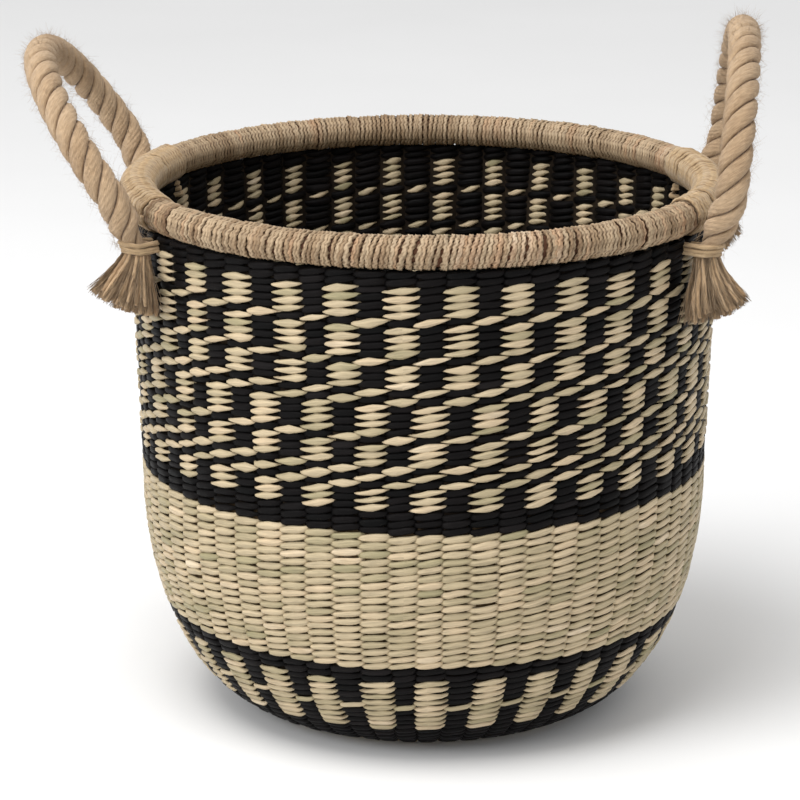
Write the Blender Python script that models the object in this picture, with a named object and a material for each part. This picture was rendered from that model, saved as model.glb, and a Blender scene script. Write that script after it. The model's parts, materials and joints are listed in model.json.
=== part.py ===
"""A two-colour twined seagrass market basket with two rope handles.

The wall is two weft layers that sandwich a cage of stakes. A cord-wrapped hoop closes its
top, and each rope handle swings on the two legs that are lashed below the hoop.
Units are metres, +Z is up, the origin is the middle of the base's underside, and -Y is the front.
"""

from math import acos, asin, cos, hypot, pi, radians, sin, tan

import bmesh
import bpy
import numpy as np
from mathutils import Vector

# ---------------------------------------------------------------- driving dimensions
RIM_OUTER_RADIUS = 0.190        # half of the basket's overall width at the rim
RIM_HEIGHT = 0.333              # from the floor to the middle of the rim's tube
WRAP_RADIUS = 0.01025           # outside of the cord that wraps the rim
WRAP_THICKNESS = 0.0020         # the wrapping cord, pressed flat
SEAT_THICKNESS = 0.0012         # the coarser over-wrap between a handle's legs

WALL_SETBACK = 0.0035           # outside of the weave at its top, in from the rim's outside
WALL_TAPER = 0.0060             # how much narrower the weave is where the heel turns in
HEEL_HEIGHT = 0.150             # how high the rounded heel reaches
BASE_RADIUS = 0.100             # the flat that the basket stands on
NATURAL_TOP = 0.160             # height of the undyed band's upper edge
NATURAL_BOTTOM = 0.070          # height of the undyed band's lower edge

WEFT_THICKNESS = 0.0033         # one layer of weft strands
STAKE_THICKNESS = 0.0018
STAKE_WIDTH = 0.0045
STAKE_HUB_RADIUS = 0.030        # where the stakes cross in the middle of the base
FACETS = 44                     # flats round the basket; every second one holds a stake
GAP = 0.0003                    # clearance between neighbouring pieces

HOOP_SIDES = 10                 # flats round the hoop's section
WRAP_SIDES = 14                 # flats round the wrap's whole section, its slot included
SLOT_MARGIN = radians(4)        # how much wider than the stakes the wrap's slot is, each side

ROPE_RADIUS = 0.010
LEFT_AZIMUTH = radians(-85)     # from the front to the middle of each handle
RIGHT_AZIMUTH = radians(90)
LEG_HALF_ANGLE = radians(26.8)  # from a handle's middle to either leg, seen from above
LOOP_HEIGHT = 0.086             # from the hinge to the rope's centre at the top of the loop
LOOP_SQUARENESS = 2.15          # 2 is an ellipse, more is squarer shoulders
LEFT_LEAN = radians(34)         # how far each handle leans outward at rest
RIGHT_LEAN = radians(5.5)
HINGE_ABOVE_RIM = 0.0135        # hinge above the middle of the rim's tube
HINGE_CLEARANCE = 0.0025        # between the loop's round end and the leg below it
LOOP_POINTS = 27                # points along the loop's centreline
ROPE_END_TURNS = (75, 53, 27)   # degrees at which the loop's round ends take their rings

LASHING_DROP = 0.0180           # lashing's middle below the middle of the rim's tube
LASHING_HEIGHT = 0.015
LASHING_THICKNESS = 0.0029
WAIST_RADIUS = 0.0066           # rope squeezed inside its lashing
LEG_LEAN = radians(24)          # how far each lashed leg leans away from the wall
LEG_FOOT = 0.0010               # rope showing below the lashing
LEG_SHOULDER = 0.0050           # over which the squeezed rope swells to its full size
LEG_CHAMFER = 0.0030            # at the leg's top
LASHING_SIDES = 12
TAIL_LENGTH = 0.040
TAIL_TOP_RADIUS = 0.0072
TAIL_HALF_WIDTH = 0.0185        # across the frayed end, along the wall
TAIL_HALF_DEPTH = 0.0105        # through the frayed end, away from the wall
TAIL_LEAN = radians(17)
TAIL_SIDES = 14

# ---------------------------------------------------------------- sizes that follow
WALL_TOP_RADIUS = RIM_OUTER_RADIUS - WALL_SETBACK
WALL_WAIST_RADIUS = WALL_TOP_RADIUS - WALL_TAPER
WALL_THICKNESS = 2 * WEFT_THICKNESS + STAKE_THICKNESS + 2 * GAP
RIM_RADIUS = RIM_OUTER_RADIUS - WRAP_RADIUS
WRAP_INNER_RADIUS = WRAP_RADIUS - WRAP_THICKNESS
HOOP_RADIUS = WRAP_INNER_RADIUS - GAP
WALL_RUN = RIM_HEIGHT - WRAP_RADIUS - HEEL_HEIGHT
INSIDE_RISE = WALL_THICKNESS * WALL_TAPER / hypot(WALL_TAPER, WALL_RUN)
WALL_TOP = RIM_HEIGHT - WRAP_RADIUS - GAP - INSIDE_RISE
OUTER_LAYER = (0.0, WEFT_THICKNESS)
STAKE_LAYER = (WEFT_THICKNESS + GAP, WEFT_THICKNESS + GAP + STAKE_THICKNESS)
INNER_LAYER = (WALL_THICKNESS - WEFT_THICKNESS, WALL_THICKNESS)
HINGE_HEIGHT = RIM_HEIGHT + HINGE_ABOVE_RIM
LASHING_OUTER_RADIUS = WAIST_RADIUS + GAP + LASHING_THICKNESS
PROFILE_STEPS = 400

COLOURS = {
    "black_weft": ((0.012, 0.012, 0.012), 0.75),
    "natural_weft": ((0.56, 0.48, 0.31), 0.70),
    "checked_weft": ((0.27, 0.23, 0.15), 0.72),
    "stakes": ((0.45, 0.38, 0.24), 0.80),
    "rim_cord": ((0.50, 0.36, 0.21), 0.80),
    "seat_yarn": ((0.42, 0.34, 0.20), 0.88),
    "rope": ((0.40, 0.31, 0.18), 0.90),
    "tail": ((0.32, 0.22, 0.13), 0.92),
}


def clear_scene():
    """Removes whatever the file held before."""
    for thing in list(bpy.data.objects):
        bpy.data.objects.remove(thing, do_unlink=True)


def material(name, colour_key):
    """A Principled material of its own for one piece."""
    colour, roughness = COLOURS[colour_key]
    made = bpy.data.materials.new(name)
    made.use_nodes = True
    shader = made.node_tree.nodes["Principled BSDF"]
    shader.inputs["Base Color"].default_value = (*colour, 1.0)
    shader.inputs["Roughness"].default_value = roughness
    shader.inputs["Metallic"].default_value = 0.0
    return made


def place(data, name, colour_key, parent=None, location=(0, 0, 0), turn=(0, 0, 0)):
    """Puts finished mesh or curve data into the scene as one named piece."""
    piece = bpy.data.objects.new(name, data)
    piece.data.materials.append(material(f"{name}_material", colour_key))
    piece.parent = parent
    piece.location = location
    piece.rotation_euler = turn
    bpy.context.scene.collection.objects.link(piece)
    return piece


def mesh_from(work, name):
    """Finishes a bmesh: faces out, smooth where round, and handed over as mesh data."""
    bmesh.ops.recalc_face_normals(work, faces=work.faces)
    data = bpy.data.meshes.new(name)
    work.to_mesh(data)
    work.free()
    data.shade_smooth()
    data.set_sharp_from_angle(angle=radians(40))
    return data


# ---------------------------------------------------------------- the wall's profile
def wall_profile():
    """Points of the wall's outside from the base's edge up to the rim, evenly fine.

    The heel is a quarter of an ellipse from the base's edge to the waist, and the wall above
    it is a straight cone. Columns are radius, height, and the outward normal's two parts.
    """
    reach = WALL_WAIST_RADIUS - BASE_RADIUS
    turn = np.linspace(pi / 2, 0, PROFILE_STEPS)
    heel_radius = BASE_RADIUS + reach * np.cos(turn)
    heel_height = HEEL_HEIGHT * (1 - np.sin(turn))
    across, down = HEEL_HEIGHT * np.cos(turn), -reach * np.sin(turn)
    length = np.hypot(across, down)
    heel = np.column_stack((heel_radius, heel_height, across / length, down / length))
    rise, spread = WALL_TOP - HEEL_HEIGHT, WALL_TOP_RADIUS - WALL_WAIST_RADIUS
    part = np.linspace(0, 1, PROFILE_STEPS)[1:]
    slant = hypot(rise, spread)
    wall = np.column_stack((
        WALL_WAIST_RADIUS + spread * part,
        HEEL_HEIGHT + rise * part,
        np.full(part.size, rise / slant),
        np.full(part.size, -spread / slant),
    ))
    return np.vstack((heel, wall))


PROFILE = wall_profile()
ARC = np.concatenate(([0.0], np.cumsum(np.hypot(*np.diff(PROFILE[:, :2], axis=0).T))))
WALL_ARC = float(ARC[-1])


def arc_at_height(height):
    """How far along the profile, from the base's edge, a height lies."""
    return float(np.interp(height, PROFILE[:, 1], ARC))


def wall_point(arc, depth):
    """Radius and height of the point a depth inside the wall's outside."""
    radius, height, out, up = (float(np.interp(arc, ARC, column)) for column in PROFILE.T)
    return radius - depth * out, height - depth * up


def wall_radius(height):
    """The wall's outside radius at a height."""
    return float(np.interp(height, PROFILE[:, 1], PROFILE[:, 0]))


# ---------------------------------------------------------------- turned pieces
def turned(section, name):
    """Spins a closed outline of (radius, height) points once round the basket's axis."""
    work = bmesh.new()
    corners = [work.verts.new((radius, 0, height)) for radius, height in section]
    edges = [work.edges.new(pair) for pair in zip(corners, corners[1:] + corners[:1])]
    bmesh.ops.spin(
        work, geom=corners + edges, cent=(0, 0, 0), axis=(0, 0, 1),
        angle=2 * pi, steps=FACETS, use_merge=True,
    )
    bmesh.ops.remove_doubles(work, verts=work.verts, dist=1e-6)
    return mesh_from(work, name)


def band_section(start, end, steps, layer):
    """Outline of one weft layer of a band that runs from one arc length to another."""
    stations = np.linspace(start, end, steps + 1)
    near = [wall_point(arc, layer[0]) for arc in stations]
    far = [wall_point(arc, layer[1]) for arc in stations]
    return near + far[::-1]


def build_wall():
    """Three woven bands, each an outside and an inside layer of weft."""
    lower_edge = arc_at_height(NATURAL_BOTTOM)
    upper_edge = arc_at_height(NATURAL_TOP)
    bands = (
        ("heel_band", GAP / 2, lower_edge - GAP / 2, 5, "checked_weft"),
        ("natural_band", lower_edge + GAP / 2, upper_edge - GAP / 2, 3, "natural_weft"),
        ("check_band", upper_edge + GAP / 2, WALL_ARC, 1, "checked_weft"),
    )
    for name, start, end, steps, colour in bands:
        for side, layer in (("outer", OUTER_LAYER), ("inner", INNER_LAYER)):
            full_name = f"{side}_{name}"
            place(turned(band_section(start, end, steps, layer), full_name), full_name, colour)


def build_base():
    """The base's underside and its inside face, as two woven discs."""
    for side, layer in (("outer", OUTER_LAYER), ("inner", INNER_LAYER)):
        name = f"{side}_base_disc"
        work = bmesh.new()
        edge = BASE_RADIUS - GAP / 2
        bmesh.ops.create_circle(work, cap_ends=True, segments=FACETS, radius=edge)
        bmesh.ops.translate(work, verts=work.verts, vec=(0, 0, layer[0]))
        grown = bmesh.ops.extrude_face_region(work, geom=list(work.faces))
        raised = [item for item in grown["geom"] if isinstance(item, bmesh.types.BMVert)]
        bmesh.ops.translate(work, verts=raised, vec=(0, 0, layer[1] - layer[0]))
        place(mesh_from(work, name), name, "natural_weft")


def build_stakes():
    """The stakes: flat ribs that cross in a hub, run out under the base and climb to the hoop."""
    flat = cos(pi / FACETS)
    count = FACETS // 2
    top = RIM_HEIGHT - HOOP_RADIUS - GAP
    run = [(STAKE_HUB_RADIUS, STAKE_LAYER[0], STAKE_HUB_RADIUS, STAKE_LAYER[1])]
    middle = arc_at_height(NATURAL_BOTTOM)
    upper = arc_at_height(NATURAL_TOP)
    stations = [
        *np.linspace(GAP / 2, middle - GAP / 2, 6),
        *np.linspace(middle + GAP / 2, upper - GAP / 2, 4),
        upper + GAP / 2, WALL_ARC,
    ]
    for arc in stations:
        outside, inside = wall_point(arc, STAKE_LAYER[0]), wall_point(arc, STAKE_LAYER[1])
        run.append((outside[0], outside[1], inside[0], inside[1]))
    run.append((run[-1][0], top, run[-1][2], top))
    work = bmesh.new()
    hub_low, hub_high = [], []
    half = STAKE_WIDTH / 2
    for index in range(count):
        angle = 2 * pi * (2 * index + 0.5) / FACETS
        out, along = Vector((cos(angle), sin(angle), 0)), Vector((-sin(angle), cos(angle), 0))
        rings = []
        for low_radius, low_z, high_radius, high_z in run:
            low = out * low_radius * flat + Vector((0, 0, low_z))
            high = out * high_radius * flat + Vector((0, 0, high_z))
            corners = (low - along * half, low + along * half, high + along * half, high - along * half)
            rings.append([work.verts.new(corner) for corner in corners])
        for here, there in zip(rings, rings[1:]):
            for k in range(4):
                work.faces.new((here[k], here[(k + 1) % 4], there[(k + 1) % 4], there[k]))
        work.faces.new(rings[-1])
        hub_low += rings[0][:2]
        hub_high += [rings[0][3], rings[0][2]]
    work.faces.new(hub_low)
    work.faces.new(hub_high)
    for index in range(1, 2 * count, 2):
        after = (index + 1) % (2 * count)
        work.faces.new((hub_low[index], hub_low[after], hub_high[after], hub_high[index]))
    place(mesh_from(work, "stake_cage"), "stake_cage", "stakes")


# ---------------------------------------------------------------- the rim
def open_ring(inner, outer, start, end, steps):
    """Outline of a tube wall round the rim's middle, from one angle to another.

    Angles are measured from straight down, positive towards the basket's outside.
    """
    angles = np.linspace(start, end, steps + 1)
    arcs = []
    for size, order in ((outer, angles), (inner, angles[::-1])):
        arcs += [(RIM_RADIUS + size * sin(a), RIM_HEIGHT - size * cos(a)) for a in order]
    return arcs


def build_rim():
    """The hoop of bundled stake ends, and the cord wrapped round it.

    The wrap is open below, where the stakes come up into the hoop.
    """
    angles = [2 * pi * k / HOOP_SIDES for k in range(HOOP_SIDES)]
    hoop = [(RIM_RADIUS + HOOP_RADIUS * cos(a), RIM_HEIGHT + HOOP_RADIUS * sin(a)) for a in angles]
    place(turned(hoop, "rim_core_hoop"), "rim_core_hoop", "stakes")
    offset = WALL_TOP_RADIUS - sum(STAKE_LAYER) / 2 - RIM_RADIUS
    middle = asin(offset / WRAP_INNER_RADIUS)
    half = asin((STAKE_THICKNESS / 2 + 2 * GAP) / WRAP_INNER_RADIUS) + SLOT_MARGIN
    inner = WRAP_INNER_RADIUS / cos(pi / WRAP_SIDES)
    wrap = open_ring(inner, WRAP_RADIUS, middle + half, middle - half + 2 * pi, WRAP_SIDES - 2)
    place(turned(wrap, "rim_wrap"), "rim_wrap", "rim_cord")


def wedge_cutter(name, azimuth, half_angle):
    """A wire-drawn wedge that keeps only the stretch of rim between a handle's legs."""
    reach = 2 * RIM_OUTER_RADIUS
    low, high = RIM_HEIGHT - 0.1, RIM_HEIGHT + 0.1
    corners = [(0.0, 0.0)]
    for turn in (-half_angle, 0.0, half_angle):
        corners.append((reach * sin(azimuth + turn), -reach * cos(azimuth + turn)))
    work = bmesh.new()
    bottom = [work.verts.new((x, y, low)) for x, y in corners]
    face = work.faces.new(bottom)
    grown = bmesh.ops.extrude_face_region(work, geom=[face])
    raised = [item for item in grown["geom"] if isinstance(item, bmesh.types.BMVert)]
    bmesh.ops.translate(work, verts=raised, vec=(0, 0, high - low))
    cutter = place(mesh_from(work, name), name, "rim_cord")
    cutter.hide_render = True
    cutter.display_type = "WIRE"
    return cutter


def build_seat(side, azimuth):
    """The coarse yarn wound over the rim where a handle rests."""
    inner = WRAP_RADIUS + GAP
    outer = inner + SEAT_THICKNESS
    half_open = acos(WRAP_RADIUS / outer) + radians(2)
    spare = 1 / cos(pi / (2 * WRAP_SIDES - 4))
    section = open_ring(inner * spare, outer * spare, half_open, 2 * pi - half_open, WRAP_SIDES - 3)
    name = f"{side}_rim_seat_wrap"
    seat = place(turned(section, name), name, "seat_yarn")
    leg_clear = asin((ROPE_RADIUS + 4 * GAP) / RIM_OUTER_RADIUS)
    cutter = wedge_cutter(f"{side}_seat_cutter", azimuth, LEG_HALF_ANGLE - leg_clear)
    cut = seat.modifiers.new("between_the_legs", "BOOLEAN")
    cut.operation = "INTERSECT"
    cut.object = cutter


# ---------------------------------------------------------------- the handles
def tube(name, points, radii):
    """A round rope along points, whose radius may change from point to point."""
    data = bpy.data.curves.new(name, "CURVE")
    data.dimensions = "3D"
    data.bevel_depth = 1.0
    data.bevel_resolution = 2
    data.use_fill_caps = True
    spline = data.splines.new("POLY")
    spline.points.add(len(points) - 1)
    for spot, centre, radius in zip(spline.points, points, radii):
        spot.co = (*centre, 1.0)
        spot.radius = radius
    return data


def loop_path(half_span):
    """The loop's centreline in its own plane: a squared-off arch from hinge to hinge."""
    power = 2 / LOOP_SQUARENESS
    turn = np.linspace(pi, 0, LOOP_POINTS)
    across = half_span * np.sign(np.cos(turn)) * np.abs(np.cos(turn)) ** power
    height = LOOP_HEIGHT * np.sin(turn).clip(0) ** power
    return [(float(x), 0.0, float(z)) for x, z in zip(across, height)]


def leg_frame():
    """Where a leg's lashing sits and how far out the hinge above it is."""
    height = RIM_HEIGHT - LASHING_DROP
    reach = LASHING_OUTER_RADIUS * cos(LEG_LEAN) + LASHING_HEIGHT / 2 * sin(LEG_LEAN)
    radius = wall_radius(height) + reach + 2 * GAP
    rise = HINGE_HEIGHT - height
    return radius, height, radius + rise * tan(LEG_LEAN), rise / cos(LEG_LEAN)


def build_leg(side, spot, azimuth):
    """One end of a handle's rope: its fixed leg, the lashing round it and the frayed tail."""
    radius, height, _, length = leg_frame()
    centre = (radius * sin(azimuth), -radius * cos(azimuth), height)
    top = length - ROPE_RADIUS - HINGE_CLEARANCE
    half = LASHING_HEIGHT / 2
    foot = -half - LEG_FOOT
    shoulder = half + GAP
    stations = (foot, 0.0, shoulder, shoulder + LEG_SHOULDER, top - LEG_CHAMFER, top)
    sizes = (WAIST_RADIUS, WAIST_RADIUS, WAIST_RADIUS, ROPE_RADIUS, ROPE_RADIUS, 0.8 * ROPE_RADIUS)
    name = f"{side}_{spot}_leg"
    leg = tube(name, [(0, 0, z) for z in stations], sizes)
    place(leg, name, "rope", location=centre, turn=(LEG_LEAN, 0, azimuth))

    name = f"{side}_{spot}_lashing"
    inner = (WAIST_RADIUS + GAP) / cos(pi / LASHING_SIDES)
    outer = LASHING_OUTER_RADIUS
    outline = ((inner, -half), (outer, -half), (outer, half), (inner, half))
    work = bmesh.new()
    corners = [work.verts.new((r, 0, z)) for r, z in outline]
    edges = [work.edges.new(pair) for pair in zip(corners, corners[1:] + corners[:1])]
    bmesh.ops.spin(
        work, geom=corners + edges, cent=(0, 0, 0), axis=(0, 0, 1),
        angle=2 * pi, steps=LASHING_SIDES, use_merge=True,
    )
    bmesh.ops.remove_doubles(work, verts=work.verts, dist=1e-6)
    place(mesh_from(work, name), name, "seat_yarn", location=centre, turn=(LEG_LEAN, 0, azimuth))

    name = f"{side}_{spot}_tail"
    work = bmesh.new()
    bmesh.ops.create_cone(
        work, cap_ends=True, segments=TAIL_SIDES, depth=TAIL_LENGTH, radius1=1.0, radius2=1.0,
    )
    for corner in work.verts:
        low = corner.co.z < 0
        corner.co.x *= TAIL_HALF_WIDTH if low else TAIL_TOP_RADIUS
        corner.co.y *= TAIL_HALF_DEPTH if low else TAIL_TOP_RADIUS
        corner.co.z -= TAIL_LENGTH / 2
    under_lashing = height - half * cos(LEG_LEAN) - outer * sin(LEG_LEAN)
    under_foot = height + foot * cos(LEG_LEAN) - WAIST_RADIUS * sin(LEG_LEAN)
    top = min(under_lashing, under_foot) - GAP - TAIL_TOP_RADIUS * sin(TAIL_LEAN)
    radius = wall_radius(top) + TAIL_TOP_RADIUS * cos(TAIL_LEAN) + 2 * GAP
    start = (radius * sin(azimuth), -radius * cos(azimuth), top)
    place(mesh_from(work, name), name, "tail", location=start, turn=(-TAIL_LEAN, 0, azimuth))


def build_handle(side, azimuth, lean):
    """A rope handle: the swinging loop on its hinge, and the two fixed legs."""
    _, _, hinge_radius, _ = leg_frame()
    reach = hinge_radius * cos(LEG_HALF_ANGLE)
    hinge = bpy.data.objects.new(f"{side}_handle_hinge", None)
    hinge.location = (reach * sin(azimuth), -reach * cos(azimuth), HINGE_HEIGHT)
    hinge.rotation_euler = (lean, 0, azimuth)
    bpy.context.scene.collection.objects.link(hinge)
    arch = loop_path(hinge_radius * sin(LEG_HALF_ANGLE))
    name = f"{side}_handle_loop"
    depths = [ROPE_RADIUS * sin(radians(turn)) for turn in ROPE_END_TURNS]
    ends = [ROPE_RADIUS * cos(radians(turn)) for turn in ROPE_END_TURNS]
    first_end = [(arch[0][0], 0.0, -depth) for depth in depths]
    last_end = [(arch[-1][0], 0.0, -depth) for depth in depths[::-1]]
    points = first_end + arch + last_end
    radii = ends + [ROPE_RADIUS] * len(arch) + ends[::-1]
    place(tube(name, points, radii), name, "rope", parent=hinge)
    for spot, sign in (("front", -1), ("back", 1)):
        outward = 1 if azimuth > 0 else -1
        build_leg(side, spot, azimuth + sign * outward * LEG_HALF_ANGLE)


def main():
    clear_scene()
    build_base()
    build_wall()
    build_stakes()
    build_rim()
    handles = (("left", LEFT_AZIMUTH, LEFT_LEAN), ("right", RIGHT_AZIMUTH, RIGHT_LEAN))
    for side, azimuth, lean in handles:
        build_seat(side, azimuth)
        build_handle(side, azimuth, lean)
    _, _, hinge_radius, _ = leg_frame()
    print("hinge radius", round(hinge_radius, 5), "hinge height", round(HINGE_HEIGHT, 5))
    print("wall from base to rim, measured along the weave", round(WALL_ARC, 4))


main()
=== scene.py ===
# %% [markdown]
# # A twined market basket with rope handles
# The basket is seagrass. Pairs of strands are twisted round upright stakes, row on row, and each
# row is black with undyed stitches, or all undyed. The rim is a hoop wrapped with thin cord, and
# two stiff rope handles are lashed to the wall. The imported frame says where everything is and
# what moves; this script only gives each piece its fine shape and its finish.

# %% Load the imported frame
import json
from math import cos, pi, radians, sin

import bpy
import numpy as np
from mathutils import Euler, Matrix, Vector


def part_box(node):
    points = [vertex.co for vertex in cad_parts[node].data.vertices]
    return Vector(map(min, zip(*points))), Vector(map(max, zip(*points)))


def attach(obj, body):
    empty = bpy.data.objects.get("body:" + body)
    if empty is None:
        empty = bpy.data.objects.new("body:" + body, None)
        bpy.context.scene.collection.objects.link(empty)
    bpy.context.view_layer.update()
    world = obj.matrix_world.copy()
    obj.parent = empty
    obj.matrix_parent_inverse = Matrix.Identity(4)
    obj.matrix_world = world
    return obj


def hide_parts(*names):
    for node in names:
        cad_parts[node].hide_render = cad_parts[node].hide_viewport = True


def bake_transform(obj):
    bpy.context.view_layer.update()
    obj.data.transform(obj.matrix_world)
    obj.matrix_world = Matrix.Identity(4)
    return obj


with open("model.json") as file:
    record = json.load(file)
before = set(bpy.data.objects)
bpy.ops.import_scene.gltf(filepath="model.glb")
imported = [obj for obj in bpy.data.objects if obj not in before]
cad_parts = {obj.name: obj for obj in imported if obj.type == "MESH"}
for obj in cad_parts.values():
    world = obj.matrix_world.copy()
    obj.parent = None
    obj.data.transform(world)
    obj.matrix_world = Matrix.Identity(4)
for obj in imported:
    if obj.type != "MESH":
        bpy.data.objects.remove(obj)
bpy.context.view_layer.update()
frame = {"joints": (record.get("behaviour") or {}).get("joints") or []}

# %% [markdown]
# ## Sizes read from the frame
# A scene that is fitted to a model by eye drifts when the model changes. So heights and radii are
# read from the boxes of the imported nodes, and only what a box can't tell is a named value here.

# %% Sizes
WRAP_RADIUS = 0.01025
WALL_THICKNESS = 0.009
HEEL_HEIGHT = 0.150
WALL_TAPER = 0.0060

RIM_OUTER_RADIUS = 0.190
RIM_RADIUS = RIM_OUTER_RADIUS - WRAP_RADIUS
RIM_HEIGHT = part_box("rim_wrap")[1].z - WRAP_RADIUS
WALL_TOP_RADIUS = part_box("outer_check_band")[1].y
WALL_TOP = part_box("outer_check_band")[1].z
WALL_WAIST_RADIUS = WALL_TOP_RADIUS - WALL_TAPER
BASE_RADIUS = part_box("outer_base_disc")[1].y
NATURAL_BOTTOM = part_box("outer_natural_band")[0].z
NATURAL_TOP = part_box("inner_natural_band")[1].z
print("rim height", round(RIM_HEIGHT, 4), "wall top", round(WALL_TOP, 4), "base", round(BASE_RADIUS, 4))

# %% [markdown]
# ## Camera, light and floor
# A product picture is taken from a little above the rim with a long lens, in light that comes
# from all round. A camera is easiest to place by an azimuth and an elevation round a target.
# Large area lights and a bright world give soft shadows without any hard edge.

# %% Camera
CAMERA_AZIMUTH = radians(3.5)
CAMERA_ELEVATION = radians(12.35)
CAMERA_PITCH = radians(74.14)
CAMERA_YAW = radians(3.90)
CAMERA_DISTANCE = 2.2
CAMERA_LENS = 156.8


def add_camera():
    """Puts the camera on a sphere round the middle of the rim."""
    data = bpy.data.cameras.new("camera")
    data.lens = CAMERA_LENS
    data.sensor_width = 36.0
    camera = bpy.data.objects.new("camera", data)
    flat = CAMERA_DISTANCE * cos(CAMERA_ELEVATION)
    camera.location = (
        flat * sin(CAMERA_AZIMUTH),
        -flat * cos(CAMERA_AZIMUTH),
        RIM_HEIGHT + CAMERA_DISTANCE * sin(CAMERA_ELEVATION),
    )
    camera.rotation_euler = Euler((CAMERA_PITCH, 0, CAMERA_YAW))
    bpy.context.scene.collection.objects.link(camera)
    bpy.context.scene.camera = camera


add_camera()

# %% Light
LIGHTS = (
    # name, place, aim, size, watts
    ("key", (-1.9, -1.7, 1.5), (0, 0, 0.2), 1.5, 30.0),
    ("top", (-0.5, -0.8, 2.5), (0, 0.1, 0.2), 1.6, 46.0),
)
WORLD_STRENGTH = 0.80


def add_lights():
    """Two large soft lamps, and a pale world."""
    for name, place, aim, size, watts in LIGHTS:
        data = bpy.data.lights.new(name, "AREA")
        data.shape = "DISK"
        data.size = size
        data.energy = watts
        lamp = bpy.data.objects.new(name, data)
        lamp.location = place
        lamp.rotation_euler = (Vector(aim) - Vector(place)).to_track_quat("-Z", "Y").to_euler()
        bpy.context.scene.collection.objects.link(lamp)
    world = bpy.data.worlds.new("studio")
    world.use_nodes = True
    background = world.node_tree.nodes["Background"].inputs
    background["Color"].default_value = (1, 1, 1, 1)
    background["Strength"].default_value = WORLD_STRENGTH
    bpy.context.scene.world = world


add_lights()
bpy.context.scene.view_settings.view_transform = "Standard"

# %% [markdown]
# ## Writing materials as sums
# A node tree is hard to read as code, because each sum is a node and two links. One small class
# wraps a socket, so that a sum of values in Python adds the Math nodes by itself. A second class
# holds one material and has one method for every other kind of node.

# %% Shader values


class Value:
    """A number that varies over a surface. Sums with it add Math nodes to its material."""

    def __init__(self, finish, socket):
        self.finish = finish
        self.socket = socket

    def _sum(self, operation, first, second):
        node = self.finish.node("ShaderNodeMath", {"operation": operation}, {0: first, 1: second})
        return Value(self.finish, node.outputs[0])

    def __add__(self, other):
        return self._sum("ADD", self, other)

    __radd__ = __add__

    def __mul__(self, other):
        return self._sum("MULTIPLY", self, other)

    __rmul__ = __mul__

    def __sub__(self, other):
        return self._sum("SUBTRACT", self, other)

    def __rsub__(self, other):
        return self._sum("SUBTRACT", other, self)


class Finish:
    """One material, and the few kinds of node that this basket's finishes need."""

    def __init__(self, name):
        self.material = bpy.data.materials.new(name)
        self.material.use_nodes = True
        self.tree = self.material.node_tree
        self.shader = self.tree.nodes["Principled BSDF"]

    def node(self, kind, settings=None, inputs=None):
        """Adds a node: its settings are set first, then each socket gets a value or a link."""
        made = self.tree.nodes.new(kind)
        for key, setting in (settings or {}).items():
            if key == "stops":
                self.set_stops(made.color_ramp, setting)
            else:
                setattr(made, key, setting)
        for key, value in (inputs or {}).items():
            self.feed(made.inputs[key], value)
        return made

    @staticmethod
    def set_stops(ramp, stops):
        """Gives a colour ramp its stops, as (place, colour) pairs."""
        while len(ramp.elements) < len(stops):
            ramp.elements.new(0.5)
        for element, (place, colour) in zip(ramp.elements, stops):
            element.position = place
            element.color = (*colour, 1.0)

    def feed(self, socket, value):
        """Links a Value or a socket, or sets a plain number or colour."""
        if isinstance(value, Value):
            value = value.socket
        if isinstance(value, bpy.types.NodeSocket):
            self.tree.links.new(value, socket)
        else:
            socket.default_value = value

    def attribute(self, name):
        """A number stored on the mesh."""
        return Value(self, self.node("ShaderNodeAttribute", {"attribute_name": name}).outputs["Fac"])

    def stretched(self, along, across):
        """The piece's own length-and-round map, scaled to that many features per metre."""
        here = self.node("ShaderNodeUVMap", {"uv_map": "along_and_round"})
        scaled = self.node(
            "ShaderNodeVectorMath", {"operation": "MULTIPLY"},
            {0: here.outputs[0], 1: (along, across, 1)},
        )
        return scaled.outputs[0]

    def place(self, scale):
        """Object coordinates, scaled to that many features per metre."""
        here = self.node("ShaderNodeTexCoord")
        scaled = self.node(
            "ShaderNodeVectorMath", {"operation": "SCALE"},
            {0: here.outputs["Object"], "Scale": scale},
        )
        return scaled.outputs[0]

    def noise(self, where, detail=2.0, roughness=0.55):
        """Smooth noise between 0 and 1 at a scaled place."""
        made = self.node(
            "ShaderNodeTexNoise", None,
            {"Vector": where, "Scale": 1.0, "Detail": detail, "Roughness": roughness},
        )
        return Value(self, made.outputs["Fac"])

    def ramp(self, value, stops):
        """A colour looked up along a ramp."""
        return self.node("ShaderNodeValToRGB", {"stops": stops}, {"Fac": value}).outputs["Color"]

    def times(self, colour, other, share=1.0):
        """A colour multiplied by another, as much as the share says."""
        made = self.node(
            "ShaderNodeMix", {"data_type": "RGBA", "blend_type": "MULTIPLY"},
            {0: share, 6: colour, 7: other},
        )
        return made.outputs[2]

    def bump(self, height, distance):
        """Fine relief that is too small to model."""
        made = self.node("ShaderNodeBump", None, {"Height": height, "Distance": distance})
        self.feed(self.shader.inputs["Normal"], made.outputs[0])

    def done(self, colour, roughness, specular, sheen=0.0):
        """Feeds the shader and hands over the material."""
        self.feed(self.shader.inputs["Base Color"], colour)
        self.feed(self.shader.inputs["Roughness"], roughness)
        self.shader.inputs["Specular IOR Level"].default_value = specular
        self.shader.inputs["Sheen Weight"].default_value = sheen
        return self.material


print("finish helpers ready")

# %% [markdown]
# ## The finishes
# Dried grass is a smooth, slightly glossy straw: fine lines run along each strand, and no two
# strands have the same colour. Every strand carries a number, its tone, that picks its colour
# Rope and yarn are jute: matt and hairy. Grass and jute both carry painted shade, darker where strands
# cross and between the yarns.

# %% Finishes
STREAKS = (45, 900)  # on grass: features a metre, along a strand and across it
HAIRS = (160, 1500)  # the same on jute
WHITE = (1, 1, 1)


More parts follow.
